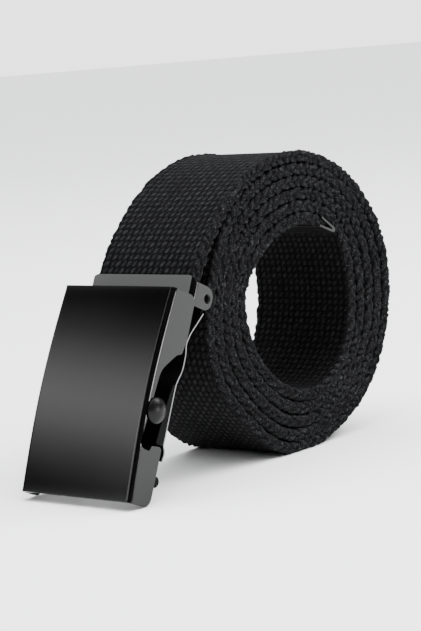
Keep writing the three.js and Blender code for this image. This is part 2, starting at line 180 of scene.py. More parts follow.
def along_table(table, angle):
    """The table's value at an angle, on a smooth closed curve through its rows."""
    place = ((angle - 15) % 360) / 30
    row = int(place)
    share = place - row
    a, b, c, d = (table[(row + k) % 12] for k in (-1, 0, 1, 2))
    rise, fall = (c - a) / 2, (d - b) / 2
    square = 3 * (c - b) - 2 * rise - fall
    cube = 2 * (b - c) + rise + fall
    return b + share * (rise + share * (square + share * cube))


def roll_radius(turned):
    angle = start_angle + turned
    pitch = web_thick + turn_gap * along_table(slack_share, angle)
    return hole_radius * along_table(hole_share, angle) + web_thick / 2 + pitch * turned / 360


rest_angle = 261
rest_radius = roll_radius((whole_turns - 1) * 360 + rest_angle - start_angle)
roll_x = -rest_radius * math.cos(math.radians(rest_angle))
roll_z = -rest_radius * math.sin(math.radians(rest_angle)) + web_thick / 2 - 0.0005


def roll_point(turned):
    angle = math.radians(start_angle + turned)
    reach = roll_radius(turned)
    return np.array([
        roll_x + reach * math.cos(angle),
        max(roll_z + reach * math.sin(angle), web_thick / 2),
    ])


def on_buckle(down, behind):
    s, c = math.sin(buckle_lean), math.cos(buckle_lean)
    return np.array([
        buckle_top[0] - down * s + behind * c,
        buckle_top[1] - down * c - behind * s,
    ])


turned_total = whole_turns * 360 + leave_angle - start_angle
route = [roll_point(t) for t in np.arange(0, turned_total, 1.0)]
lead_start = roll_point(turned_total)
heading = lead_start - roll_point(turned_total - 1)
heading /= np.linalg.norm(heading)
web_behind, straight_from, end_down = 0.01205, -0.007, 0.002
lead_end = on_buckle(straight_from, web_behind)
down_buckle = on_buckle(end_down, web_behind) - lead_end
down_buckle /= np.linalg.norm(down_buckle)
span = np.linalg.norm(lead_end - lead_start)
handles = [lead_start, lead_start + heading * 0.52 * span, lead_end - down_buckle * 0.06 * span, lead_end]
for t in np.linspace(0, 1, 80):
    w = [(1 - t) ** 3, 3 * t * (1 - t) ** 2, 3 * t * t * (1 - t), t ** 3]
    route.append(sum(k * p for k, p in zip(w, handles)))
route.append(on_buckle(end_down, web_behind))
tip_back = route[0] - roll_point(10)
tip_back /= np.linalg.norm(tip_back)
tip_turn, tip_length = -math.radians(10), 0.003
tip_back = np.array([
    tip_back[0] * math.cos(tip_turn) - tip_back[1] * math.sin(tip_turn),
    tip_back[0] * math.sin(tip_turn) + tip_back[1] * math.cos(tip_turn),
])
route.insert(0, route[0] + tip_back * tip_length)
route = np.array(route)
gone = np.concatenate([[0], np.cumsum(np.linalg.norm(np.diff(route, axis=0), axis=1))])
web_length = gone[-1]
rings = 2560
at = np.linspace(0, web_length, rings)
line = np.column_stack([np.interp(at, gone, route[:, k]) for k in (0, 1)])
for k in (0, 1):
    smooth = np.convolve(line[:, k], np.ones(5) / 5, mode="valid")
    line[2:-2, k] = smooth
line[:, 1] = np.maximum(line[:, 1], web_thick / 2)
ahead = np.gradient(line, axis=0)
ahead /= np.linalg.norm(ahead, axis=1)[:, None]
outward = np.column_stack([ahead[:, 1], -ahead[:, 0]])

# The section goes round from the near selvedge over the outer face to the far one and back.
edge_steps = 10
selvedge_round, selvedge_proud, face_swell = 0.0013, 0.00042, 0.00022
knot_depth, valley_depth, fray = 0.0011, 0.00025, 0.00024
face_shares = (-0.97, -0.87, -0.7, -0.35, 0, 0.35, 0.7, 0.87, 0.97)
half_w, half_t = web_width / 2, web_thick / 2
flat_half = half_w - selvedge_round
section = [(share * flat_half, 1.0, "outer") for share in face_shares]
for k in range(edge_steps):
    a = math.pi / 2 - math.pi * (k + 0.5) / edge_steps
    section.append((math.cos(a), math.sin(a), "far"))
section += [(-share * flat_half, -1.0, "inner") for share in face_shares]
for k in range(edge_steps):
    a = -math.pi / 2 - math.pi * (k + 0.5) / edge_steps
    section.append((math.cos(a), math.sin(a), "near"))
braid_pitch = 0.0036
clip_grip, grip_fade, grip_share = 0.0022, 0.0012, 0.45
squeeze = np.clip((at - clip_grip) / grip_fade, 0, 1)
squeeze = grip_share + (1 - grip_share) * squeeze * squeeze * (3 - 2 * squeeze)
rng = np.random.default_rng(11)
knots = int(web_length / braid_pitch)
wander = np.interp(at, np.linspace(0, web_length, knots), rng.normal(0, 2.2, knots))
plump = np.interp(at, np.linspace(0, web_length, 2 * knots), rng.uniform(0.45, 1.3, 2 * knots))
rough = rng.normal(0, 1, (rings, len(section)))
rough = (rough + np.roll(rough, 1, 0) + np.roll(rough, 1, 1)) / 3

# Where the open lever comes down on the outer turn, the selvedge lies pressed flat.
press_x, press_z, press_fade, outer_turn = -0.012, 0.045, 0.008, 0.3
toward_buckle = np.clip((press_x - line[:, 0]) / press_fade, 0, 1)
below_lever = np.clip((press_z - line[:, 1]) / press_fade, 0, 1)
lever_side = toward_buckle * below_lever
pressed = 0.9 * lever_side * (at > web_length - outer_turn)
grid = np.zeros((rings, len(section), 3))
braid = np.zeros((rings, len(section), 2))
around = np.zeros(len(section))
for j, (p, q, part) in enumerate(section):
    if part in ("outer", "inner"):
        across = np.full(rings, p)
        near_edge = max(0.0, (abs(p) / flat_half - 0.78) / 0.22)
        height = q * (half_t + face_swell * near_edge ** 2) * squeeze
    else:
        # Two rows of slanting knots wrap over each selvedge, half a knot out of step.
        side = 1 if part == "far" else -1
        tilt = math.atan2(q, abs(p)) / math.pi
        phase = math.pi * (at / braid_pitch + 1.5 * abs(tilt) + (0.5 if tilt > 0 else 0)) + 0.5 * wander
        knot = np.abs(np.sin(phase)) ** 0.6
        valley = math.exp(-(tilt / 0.09) ** 2)
        lift = knot_depth * plump * (knot - 0.8) * (1 - 0.4 * valley) - valley_depth * valley
        lift = (lift + fray * rough[:, j]) * squeeze ** 2
        across = side * (flat_half + abs(p) * (selvedge_round + lift))
        height = q * (half_t + (selvedge_proud + 0.7 * lift) * (1 - pressed * (q > 0))) * squeeze
        braid[:, j, 0] = phase / math.pi
        braid[:, j, 1] = tilt + 1
    grid[:, j, 0] = line[:, 0] + outward[:, 0] * height
    grid[:, j, 1] = across
    grid[:, j, 2] = line[:, 1] + outward[:, 1] * height
count = len(section)
for j in range(1, count):
    a, b = grid[rings // 2, j - 1], grid[rings // 2, j]
    around[j] = around[j - 1] + np.linalg.norm(b - a)
girth = around[-1] + np.linalg.norm(grid[rings // 2, 0] - grid[rings // 2, -1])
grid[:, :, 2] = np.maximum(grid[:, :, 2], 0.00002)
faces = []
for r in range(rings - 1):
    for j in range(count):
        n = (j + 1) % count
        faces.append((r * count + j, (r + 1) * count + j, (r + 1) * count + n, r * count + n))
faces.append(tuple(range(count)))
faces.append(tuple((rings - 1) * count + j for j in reversed(range(count))))
mesh = bpy.data.meshes.new("webbing_cloth")
mesh.from_pydata(grid.reshape(-1, 3).tolist(), [], faces)
weave_uv = mesh.uv_layers.new(name="weave")
corner = np.zeros((len(mesh.loops), 2))
loop_vertex = np.zeros(len(mesh.loops), dtype=np.int64)
mesh.loops.foreach_get("vertex_index", loop_vertex)
corner[:, 0] = at[loop_vertex // count] / web_length
corner[:, 1] = around[loop_vertex % count] / girth
quads = (rings - 1) * count
at_start = loop_vertex[:quads * 4].reshape(-1, 4) % count == 0
in_last_strip = (np.arange(quads) % count == count - 1)[:, None]
wrap = at_start & in_last_strip
corner[:quads * 4, 1][wrap.ravel()] = 1.0
weave_uv.data.foreach_set("uv", corner.ravel())
braid_uv = mesh.uv_layers.new(name="braid")
braid_uv.data.foreach_set("uv", braid.reshape(-1, 2)[loop_vertex].ravel())
mesh.polygons.foreach_set("use_smooth", [True] * quads + [False] * 2)
mesh.update()
webbing = bpy.data.objects.new("webbing_cloth", mesh)
bpy.context.scene.collection.objects.link(webbing)


# The webbing's finish: matt black cotton, plain woven on both faces and braided on the
# selvedges. The hollows between the yarns and the inner face are darkened with painted shade,
# and pale fibres stand out on top.
def finish_nodes(name):
    material = bpy.data.materials.new(name)
    material.use_nodes = True
    tree = material.node_tree
    return material, tree, tree.nodes["Principled BSDF"]


def arith(tree, operation, a, b=None, clamp=False):
    node = tree.nodes.new("ShaderNodeMath")
    node.operation = operation
    node.use_clamp = clamp
    for socket, value in zip(node.inputs, (a, b)):
        if value is None:
            continue
        if isinstance(value, (int, float)):
            socket.default_value = value
        else:
            tree.links.new(value, socket)
    return node.outputs[0]


def plain_weave_group():
    group = bpy.data.node_groups.new("plain_weave", "ShaderNodeTree")
    for name in ("Along", "Across"):
        group.interface.new_socket(name, in_out="INPUT", socket_type="NodeSocketFloat")
    group.interface.new_socket("Height", in_out="OUTPUT", socket_type="NodeSocketFloat")
    get = group.nodes.new("NodeGroupInput")
    put = group.nodes.new("NodeGroupOutput")
    slant = arith(group, "MULTIPLY", arith(group, "FRACT", get.outputs["Across"]), -0.45)
    leaning = arith(group, "ADD", get.outputs["Along"], slant)
    wave_x = arith(group, "SINE", arith(group, "MULTIPLY", leaning, math.pi))
    wave_y = arith(group, "SINE", arith(group, "MULTIPLY", get.outputs["Across"], math.pi))
    x, y = arith(group, "ABSOLUTE", wave_x), arith(group, "ABSOLUTE", wave_y)
    over = arith(group, "GREATER_THAN", arith(group, "MULTIPLY", wave_x, wave_y), 0.0)
    knot = arith(group, "MULTIPLY", arith(group, "POWER", x, 0.45), arith(group, "POWER", y, 0.5))
    above = arith(group, "ADD", arith(group, "MULTIPLY", over, 0.16), 0.84)
    height = arith(group, "MULTIPLY", knot, above)
    group.links.new(height, put.inputs["Height"])
    return group


plain_weave = plain_weave_group()
cotton, tree, skin = finish_nodes("black_cotton")
uv = tree.nodes.new("ShaderNodeUVMap")
uv.uv_map = "weave"
split = tree.nodes.new("ShaderNodeSeparateXYZ")
tree.links.new(uv.outputs["UV"], split.inputs[0])
along_mm = arith(tree, "MULTIPLY", split.outputs["X"], web_length * 1000)
round_mm = arith(tree, "MULTIPLY", split.outputs["Y"], girth * 1000)
jitter = tree.nodes.new("ShaderNodeTexNoise")
jitter.inputs["Scale"].default_value = 900
jitter.inputs["Detail"].default_value = 2
place = tree.nodes.new("ShaderNodeTexCoord")
tree.links.new(place.outputs["Object"], jitter.inputs["Vector"])
sway = arith(tree, "MULTIPLY", arith(tree, "SUBTRACT", jitter.outputs["Fac"], 0.5), 0.35)
weave = tree.nodes.new("ShaderNodeGroup")
weave.node_tree = plain_weave
tree.links.new(arith(tree, "ADD", arith(tree, "DIVIDE", along_mm, 2.15), sway), weave.inputs["Along"])
tree.links.new(arith(tree, "ADD", arith(tree, "DIVIDE", round_mm, 2.2), sway), weave.inputs["Across"])
fibre = tree.nodes.new("ShaderNodeTexNoise")
fibre.inputs["Scale"].default_value = 1500
fibre.inputs["Detail"].default_value = 4
fibre.inputs["Roughness"].default_value = 0.85
tree.links.new(place.outputs["Object"], fibre.inputs["Vector"])
clump = tree.nodes.new("ShaderNodeTexNoise")
clump.inputs["Scale"].default_value = 150
clump.inputs["Detail"].default_value = 3
tree.links.new(place.outputs["Object"], clump.inputs["Vector"])
yarn_way = tree.nodes.new("ShaderNodeCombineXYZ")
for axis, along_share, round_share in (("X", 1.6, -1.3), ("Y", 0.35, 0.45)):
    forward = arith(tree, "MULTIPLY", along_mm, along_share)
    sideways = arith(tree, "MULTIPLY", round_mm, round_share)
    tree.links.new(arith(tree, "ADD", forward, sideways), yarn_way.inputs[axis])
yarn = tree.nodes.new("ShaderNodeTexNoise")
yarn.inputs["Scale"].default_value = 2.4
yarn.inputs["Detail"].default_value = 3
tree.links.new(yarn_way.outputs[0], yarn.inputs["Vector"])
edge_place = tree.nodes.new("ShaderNodeSeparateXYZ")
tree.links.new(place.outputs["Object"], edge_place.inputs[0])
edge = tree.nodes.new("ShaderNodeMapRange")
edge.inputs["From Min"].default_value = web_width / 2 - 0.0017
edge.inputs["From Max"].default_value = web_width / 2 - 0.0009
tree.links.new(arith(tree, "ABSOLUTE", edge_place.outputs["Y"]), edge.inputs["Value"])
inner_part = arith(tree, "SUBTRACT", 1.0, edge.outputs["Result"])
braid_map = tree.nodes.new("ShaderNodeUVMap")
braid_map.uv_map = "braid"
braid_split = tree.nodes.new("ShaderNodeSeparateXYZ")
tree.links.new(braid_map.outputs["UV"], braid_split.inputs[0])
knot_wave = arith(tree, "SINE", arith(tree, "MULTIPLY", braid_split.outputs["X"], math.pi))
plump_part = arith(tree, "POWER", arith(tree, "ABSOLUTE", knot_wave), 0.5)
off_middle = arith(tree, "ABSOLUTE", arith(tree, "SUBTRACT", braid_split.outputs["Y"], 1.0))
from_valley = arith(tree, "DIVIDE", off_middle, 0.16, clamp=True)
row_part = arith(tree, "ADD", arith(tree, "MULTIPLY", from_valley, 0.3), 0.7)
edge_knot = arith(tree, "MULTIPLY", plump_part, row_part)
edge_knot = arith(tree, "ADD", arith(tree, "MULTIPLY", edge_knot, 0.75), 0.25)
woven_part = arith(tree, "MULTIPLY", weave.outputs["Height"], inner_part)
braided_part = arith(tree, "MULTIPLY", edge.outputs["Result"], edge_knot)
high = arith(tree, "ADD", woven_part, braided_part)
fuzz = arith(tree, "MULTIPLY", arith(tree, "SUBTRACT", fibre.outputs["Fac"], 0.4), 4.2, clamp=True)
strand = arith(tree, "MULTIPLY", arith(tree, "SUBTRACT", yarn.outputs["Fac"], 0.3), 1.6, clamp=True)
hairy = arith(tree, "ADD", arith(tree, "MULTIPLY", fuzz, 0.95), arith(tree, "MULTIPLY", strand, 0.5))
lively = arith(tree, "ADD", hairy, 0.12)
# Colour follows the square of the weave height: painted shade in the hollows between the yarns and between
# the braid's knots.
tone_level = arith(tree, "MULTIPLY", arith(tree, "POWER", high, 2.0), lively)
cloudy = arith(tree, "ADD", arith(tree, "MULTIPLY", clump.outputs["Fac"], 0.8), 0.6)
edge_shade = arith(tree, "SUBTRACT", 1.0, arith(tree, "MULTIPLY", edge.outputs["Result"], 0.38))
# The inner face of the strap is darkened by 35 %: painted shade for the inside of the roll.
inside = arith(tree, "MULTIPLY", arith(tree, "GREATER_THAN", split.outputs["Y"], 0.5), inner_part)
inner_face_painted_shade = arith(tree, "SUBTRACT", 1.0, arith(tree, "MULTIPLY", inside, 0.35))
for shade in (cloudy, edge_shade, inner_face_painted_shade):
    tone_level = arith(tree, "MULTIPLY", tone_level, shade)
tone = tree.nodes.new("ShaderNodeValToRGB")
tone.color_ramp.elements[0].position = 0.04
tone.color_ramp.elements[0].color = (0.0004, 0.0004, 0.0005, 1)
tone.color_ramp.elements[1].position = 1.0
tone.color_ramp.elements[1].color = (0.027, 0.0275, 0.029, 1)
tree.links.new(tone_level, tone.inputs["Fac"])
speck = arith(tree, "MULTIPLY", arith(tree, "SUBTRACT", fibre.outputs["Fac"], 0.58), 9.0, clamp=True)
speck_share = arith(tree, "ADD", arith(tree, "MULTIPLY", edge.outputs["Result"], 0.7), 0.15)
speck = arith(tree, "MULTIPLY", speck, speck_share)
lint = tree.nodes.new("ShaderNodeMix")
lint.data_type = "RGBA"
lint.inputs[7].default_value = (0.085, 0.086, 0.088, 1)
tree.links.new(speck, lint.inputs["Factor"])
tree.links.new(tone.outputs["Color"], lint.inputs[6])
tree.links.new(lint.outputs[2], skin.inputs["Base Color"])
bump_height = arith(tree, "ADD", high, arith(tree, "MULTIPLY", fibre.outputs["Fac"], 1.1))
bump_height = arith(tree, "ADD", bump_height, arith(tree, "MULTIPLY", yarn.outputs["Fac"], 0.35))
bump = tree.nodes.new("ShaderNodeBump")
bump.inputs["Strength"].default_value = 0.9
bump.inputs["Distance"].default_value = 0.0006
tree.links.new(bump_height, bump.inputs["Height"])
tree.links.new(bump.outputs["Normal"], skin.inputs["Normal"])
skin.inputs["Roughness"].default_value = 0.92
skin.inputs["Specular IOR Level"].default_value = 0.05
skin.inputs["Sheen Weight"].default_value = 0.01
skin.inputs["Sheen Roughness"].default_value = 0.5
skin.inputs["Sheen Tint"].default_value = (0.55, 0.57, 0.6, 1)
webbing.data.materials.append(cotton)
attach(webbing, "belt")
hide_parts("webbing")


# Buckle box: one sheet of 0.8 mm steel, pressed to a gently bowed face with two side walls.
# A slanting channel for the lock bar is cut in both walls. The face is gloss black enamel, the
# walls and the inside are gloss black paint.
def finished(name, piece, body, nodes, material):
    piece.name = name
    piece.data.name = name
    if not piece.data.materials:
        piece.data.materials.append(material)
    else:
        piece.data.materials[0] = material
    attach(piece, body)
    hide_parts(*nodes)


def only(piece):
    deselect()
    piece.select_set(True)
    bpy.context.view_layer.objects.active = piece


def apply_modifier(piece, kind, **settings):
    only(piece)
    modifier = piece.modifiers.new(kind.title(), kind)
    for key, value in settings.items():
        setattr(modifier, key, value)
    bpy.ops.object.modifier_apply(modifier=modifier.name)


def rounded(points, steps=6):
    """Corner points (down, behind, radius) as one outline with its corners rounded."""
    outline = []
    for k, (u, d, radius) in enumerate(points):
        here = np.array([u, d])
        before = np.array(points[k - 1][:2]) - here
        after = np.array(points[(k + 1) % len(points)][:2]) - here
        room = 0.48 * min(np.linalg.norm(before), np.linalg.norm(after))
        before, after = before / np.linalg.norm(before), after / np.linalg.norm(after)
        opening = math.acos(max(-1, min(1, float(before @ after))))
        if radius == 0 or math.pi - opening < 0.02:
            outline.append(tuple(here))
            continue
        cut = min(radius / math.tan(opening / 2), room)
        true_radius = cut * math.tan(opening / 2)
        middle = (before + after) / np.linalg.norm(before + after)
        centre = here + middle * true_radius / math.sin(opening / 2)
        enter, leave = here + before * cut - centre, here + after * cut - centre
        first = math.atan2(enter[1], enter[0])
        swing = (math.atan2(leave[1], leave[0]) - first + math.pi) % (2 * math.pi) - math.pi
        for s in range(steps + 1):
            a = first + swing * s / steps
            outline.append((centre[0] + true_radius * math.cos(a), centre[1] + true_radius * math.sin(a)))
    return outline


def side_block(outline, from_y, to_y):
    """A block whose side view on the upright buckle is the outline, extruded across it."""
    deselect()
    bpy.ops.mesh.primitive_circle_add(vertices=len(outline), radius=0.01, fill_type="NGON")
    block = bpy.context.object
    for vertex, (u, d) in zip(block.data.vertices, outline):
        vertex.co = (d, from_y, -u)
    bpy.ops.object.mode_set(mode="EDIT")
    bpy.ops.mesh.select_all(action="SELECT")
    bpy.ops.mesh.extrude_region_move(TRANSFORM_OT_translate={"value": (0, to_y - from_y, 0)})
    bpy.ops.mesh.select_all(action="SELECT")
    bpy.ops.mesh.normals_make_consistent(inside=False)
    bpy.ops.object.mode_set(mode="OBJECT")
    return block


def cut_with(piece, cutter, how):
    apply_modifier(piece, "BOOLEAN", operation=how, object=cutter, solver="EXACT")
    mesh = cutter.data
    bpy.data.objects.remove(cutter)
    bpy.data.meshes.remove(mesh)


def ease_edges(piece, width, segments=2, angle=32):
    only(piece)
    bpy.ops.object.mode_set(mode="EDIT")
    bpy.ops.mesh.select_all(action="SELECT")
    bpy.ops.mesh.remove_doubles(threshold=0.000004)
    bpy.ops.object.mode_set(mode="OBJECT")
    apply_modifier(
        piece, "BEVEL", width=width, segments=segments, limit_method="ANGLE",
        angle_limit=math.radians(angle), use_clamp_overlap=True, miter_outer="MITER_ARC",
    )
    only(piece)
    bpy.ops.object.shade_smooth_by_angle(angle=math.radians(35))
    apply_modifier(piece, "WEIGHTED_NORMAL", weight=100, keep_sharp=True)


def lean_in_place(piece):
    only(piece)
    piece.rotation_mode = "XYZ"
    piece.rotation_euler = (0, buckle_lean, 0)
    piece.location = (buckle_top[0], 0, buckle_top[1])
    bpy.ops.object.transform_apply(location=True, rotation=True, scale=True)


box_length, box_width, box_depth, foot_depth = 0.0624, 0.0430, 0.0099, 0.0085
box_sheet, box_bend = 0.0008, 0.0016
face_bow = 0.0017
bar_room = 0.0023
seat_down, seat_behind, bar_slope = 0.04435, 0.0018, math.radians(6)
travel_down, travel_up = 0.009, 0.0095
mouth_rise, past_sides = 0.0117, 0.03
bar_down = seat_down - travel_down * math.cos(bar_slope)
bar_behind = seat_behind + travel_down * math.sin(bar_slope)


def on_channel(travel, ahead):
    return (
        bar_down + travel * math.cos(bar_slope) - ahead * math.sin(bar_slope),
        bar_behind - travel * math.sin(bar_slope) - ahead * math.cos(bar_slope),
    )


high_down, high_behind = on_channel(-travel_up, 0)
mouth_down = high_down - mouth_rise


def pick(piece, kind, test):
    """Leaves the piece in edit mode with only those of its VERT, EDGE or FACE that pass the test."""
    only(piece)
    bpy.ops.object.mode_set(mode="EDIT")
    bpy.ops.mesh.select_mode(type=kind)
    bpy.ops.mesh.select_all(action="DESELECT")
    bpy.ops.object.mode_set(mode="OBJECT")
    mesh = piece.data
    if kind == "FACE":
        for face in mesh.polygons:
            face.select = test(face)
    elif kind == "EDGE":
        for edge in mesh.edges:
            edge.select = test(*(mesh.vertices[v].co for v in edge.vertices))
    else:
        for vertex in mesh.vertices:
            vertex.select = test(vertex.co)
    bpy.ops.object.mode_set(mode="EDIT")


deselect()
bpy.ops.mesh.primitive_cube_add(
    size=1, location=(box_depth / 2, 0, -box_length / 2),
    scale=(box_depth, box_width, box_length + 0.002))
buckle = bpy.context.object
bpy.ops.object.transform_apply(location=True, rotation=True, scale=True)
pick(buckle, "FACE", lambda face: face.normal.x > 0.9 or abs(face.normal.z) > 0.9)
bpy.ops.mesh.delete(type="FACE")
pick(buckle, "EDGE", lambda a, b: max(a.x, b.x) < 1e-5 and abs(a.z - b.z) > 0.01)
bpy.ops.mesh.bevel(offset=box_bend, segments=5, profile=0.5)
pick(buckle, "EDGE", lambda a, b: abs(a.z - b.z) > 0.01)
bpy.ops.mesh.subdivide(number_cuts=31)
bpy.ops.object.mode_set(mode="OBJECT")
for level in np.linspace(0.001, -box_length - 0.001, 33):
    share = min(max(-level / box_length, 0), 1)
    pick(buckle, "VERT", lambda co: abs(co.z - level) < 0.0004 and co.x < box_bend + 1e-5)
    bpy.ops.transform.translate(value=(-face_bow * math.sin(math.pi * share), 0, 0))
bpy.ops.object.mode_set(mode="OBJECT")
apply_modifier(buckle, "SOLIDIFY", thickness=box_sheet, offset=-1, use_even_offset=True)
side_view = side_block(rounded([
    (0, -0.01, 0), (box_length, -0.01, 0), (box_length, foot_depth, 0.003),
    (seat_down + bar_room * 0.1, foot_depth, 0.0012),
    (seat_down + bar_room * 0.4, seat_behind + bar_room * 1.05, 0.0004),
    (seat_down + bar_room * 1.1, seat_behind + bar_room * 0.8, 0.0006),
    (*on_channel(travel_down + bar_room * 1.1, bar_room), bar_room * 0.95),
    (*on_channel(-travel_up - bar_room * 0.8, bar_room), bar_room * 3),
    (high_down - bar_room * 3.4, high_behind + bar_room * 1.4, bar_room * 1.3),
    (mouth_down + bar_room * 1.4, box_depth - 0.001, 0.0009),
    (mouth_down + bar_room * 0.15, box_depth - 0.0004, 0.0004),
    (mouth_down, box_depth, 0), (0, box_depth, 0.0026),
]), -past_sides, past_sides)
cut_with(buckle, side_view, "INTERSECT")
ease_edges(buckle, 0.00036, segments=3)
lean_in_place(buckle)


# Grain, cloud and scuffs shared by the painted and bare steel.
def paint_detail_group():
    group = bpy.data.node_groups.new("paint_detail", "ShaderNodeTree")
    for name, value in (("Grain Scale", 9000.0), ("Cloud Scale", 60.0)):
        socket = group.interface.new_socket(name, in_out="INPUT", socket_type="NodeSocketFloat")
        socket.default_value = value
    for name in ("Grain", "Cloud", "Scuff"):
        group.interface.new_socket(name, in_out="OUTPUT", socket_type="NodeSocketFloat")
    get = group.nodes.new("NodeGroupInput")
    put = group.nodes.new("NodeGroupOutput")
    spot = group.nodes.new("ShaderNodeTexCoord")
    for name, scale in (("Grain", "Grain Scale"), ("Cloud", "Cloud Scale")):
        noise = group.nodes.new("ShaderNodeTexNoise")
        noise.inputs["Detail"].default_value = 3
        group.links.new(spot.outputs["Object"], noise.inputs["Vector"])
        group.links.new(get.outputs[scale], noise.inputs["Scale"])
        group.links.new(noise.outputs["Fac"], put.inputs[name])
    stretch = group.nodes.new("ShaderNodeMapping")
    stretch.inputs["Rotation"].default_value = (0.3, 0.5, 0.2)
    stretch.inputs["Scale"].default_value = (1, 14, 1)
    group.links.new(spot.outputs["Object"], stretch.inputs["Vector"])
    lines = group.nodes.new("ShaderNodeTexNoise")
    lines.inputs["Scale"].default_value = 260
    lines.inputs["Detail"].default_value = 4
    group.links.new(stretch.outputs["Vector"], lines.inputs["Vector"])
    scuff = arith(group, "MULTIPLY", arith(group, "SUBTRACT", lines.outputs["Fac"], 0.62), 5.0, clamp=True)
    group.links.new(scuff, put.inputs["Scuff"])
    return group


paint_detail = paint_detail_group()


def painted(name, colour, roughness, spread, bump_distance, grain_scale, metallic=0.0, specular=0.5):
    material, tree, skin = finish_nodes(name)
    detail = tree.nodes.new("ShaderNodeGroup")
    detail.node_tree = paint_detail
    detail.inputs["Grain Scale"].default_value = grain_scale
    mix = tree.nodes.new("ShaderNodeMix")
    mix.data_type = "RGBA"
    mix.inputs[6].default_value = (*colour, 1)
    mix.inputs[7].default_value = (*[c * 1.35 + 0.002 for c in colour], 1)
    tree.links.new(detail.outputs["Cloud"], mix.inputs["Factor"])
    tree.links.new(mix.outputs[2], skin.inputs["Base Color"])
    cloudy_part = arith(tree, "MULTIPLY", detail.outputs["Cloud"], spread)
    rough = arith(tree, "ADD", cloudy_part, roughness - spread / 2)
    rough = arith(tree, "ADD", rough, arith(tree, "MULTIPLY", detail.outputs["Scuff"], spread))
    tree.links.new(rough, skin.inputs["Roughness"])
    bump = tree.nodes.new("ShaderNodeBump")
    bump.inputs["Strength"].default_value = 0.5
    bump.inputs["Distance"].default_value = bump_distance
    tree.links.new(detail.outputs["Grain"], bump.inputs["Height"])
    tree.links.new(bump.outputs["Normal"], skin.inputs["Normal"])
    skin.inputs["Metallic"].default_value = metallic
    skin.inputs["Specular IOR Level"].default_value = specular
    return material


enamel = painted("gloss_black_enamel", (0.0003, 0.0003, 0.0004), 0.1, 0.02, 0.000001, 2500, specular=0.6)
gloss_paint = painted(
    "gloss_black_paint", (0.0008, 0.0008, 0.0009), 0.14, 0.05, 0.000003, 6000, specular=0.3)
finished("buckle_box_steel", buckle, "belt", ["buckle_box"], enamel)
buckle.data.materials.append(gloss_paint)
for face in buckle.data.polygons:
    if abs(face.normal.y) > 0.6 or face.normal.x > 0.2:
        face.material_index = 1


# End bracket: a steel plate across the top of the box, with an ear bent back at each side for
# the clamp pin. The plate's face is satin paint lightened to grey as painted light, the ears are
# gloss black. It is fixed between the walls.
touch_gap = 0.0003
wall_inside = box_width / 2 - box_sheet
bracket_half = wall_inside - touch_gap
bracket_front, bracket_sheet, bracket_rise = 0.0092, 0.0008, 0.0063
bracket_clear, bracket_bend, corner_round = 0.0027, 0.0019, 0.003
bracket_reach = mouth_down - bracket_clear
ear_upper, ear_lower, ear_reach, ear_round = 0.0046, 0.0024, 0.00235, 0.0032
ear_front, ear_block_half, ear_hole = 0.0106, 0.0206, 0.0014
pin_up, pin_behind = 0.00115, 0.01615
ear_end = pin_behind + ear_reach
deselect()
bpy.ops.mesh.primitive_cube_add(
    size=1,
    location=((bracket_front + ear_end + 0.001) / 2, 0, (bracket_rise - bracket_reach) / 2),
    scale=(ear_end + 0.001 - bracket_front, 2 * bracket_half, bracket_rise + bracket_reach))
bracket = bpy.context.object
bpy.ops.object.transform_apply(location=True, rotation=True, scale=True)
pick(bracket, "FACE", lambda face: face.normal.x > 0.9 or abs(face.normal.z) > 0.9)
bpy.ops.mesh.delete(type="FACE")
pick(bracket, "EDGE", lambda a, b: abs(a.z - b.z) > 0.01 and max(a.x, b.x) < bracket_front + 1e-5)
bpy.ops.mesh.bevel(offset=bracket_bend, segments=6, profile=0.5)
bpy.ops.object.mode_set(mode="OBJECT")
apply_modifier(bracket, "SOLIDIFY", thickness=bracket_sheet, offset=-1, use_even_offset=True)
plate_back = bracket_front + bracket_sheet
ears = side_block(rounded([
    (-bracket_rise - 0.001, bracket_front - 0.001, 0), (bracket_reach + 0.001, bracket_front - 0.001, 0),
    (bracket_reach + 0.001, plate_back, 0), (ear_lower, plate_back, 0), (ear_lower, ear_end, ear_round),
    (-ear_upper, ear_end, ear_round), (-ear_upper, plate_back, 0), (-bracket_rise - 0.001, plate_back, 0),
]), -past_sides, past_sides)
cut_with(bracket, ears, "INTERSECT")

# This rounds the plate's upper corners, seen from the front, and leaves the ears whole.
deselect()
bpy.ops.mesh.primitive_cube_add(
    size=1, location=(0.0008, 0, bracket_rise / 2 - 0.01),
    scale=(0.02, 2 * bracket_half + 0.00004, bracket_rise + 0.02004))
corners = bpy.context.object
bpy.ops.object.transform_apply(location=True, rotation=True, scale=True)
pick(corners, "EDGE", lambda a, b: abs(a.x - b.x) > 0.01 and min(a.z, b.z) > bracket_rise - 1e-5)
bpy.ops.mesh.bevel(offset=corner_round, segments=8, profile=0.5)
bpy.ops.object.mode_set(mode="OBJECT")
ear_block = side_block(
    [(-0.005, ear_front), (0.02, ear_front), (0.02, 0.04), (-0.005, 0.04)],
    -ear_block_half, ear_block_half)
cut_with(corners, ear_block, "UNION")
cut_with(bracket, corners, "INTERSECT")
deselect()
bpy.ops.mesh.primitive_cylinder_add(
    vertices=28, radius=ear_hole, depth=2 * past_sides, location=(pin_behind, 0, pin_up),
    rotation=(math.pi / 2, 0, 0))
cut_with(bracket, bpy.context.object, "DIFFERENCE")
ease_edges(bracket, 0.00014)
lean_in_place(bracket)
# Satin paint with a lighter grey base colour: painted light on the plate's face.
plate_face_painted_light = painted("satin_paint_painted_light", (0.024, 0.024, 0.0245), 0.5, 0.06, 0.00001, 9000, specular=0.9)
finished("end_bracket_steel", bracket, "belt", ["end_bracket"], gloss_paint)
bracket.data.materials.append(plate_face_painted_light)
# The forward-facing faces, the plate's face, take the paint with painted light.
for face in bracket.data.polygons:
    if face.normal.x < -0.5 and abs(face.normal.y) < 0.2:
        face.material_index = 1


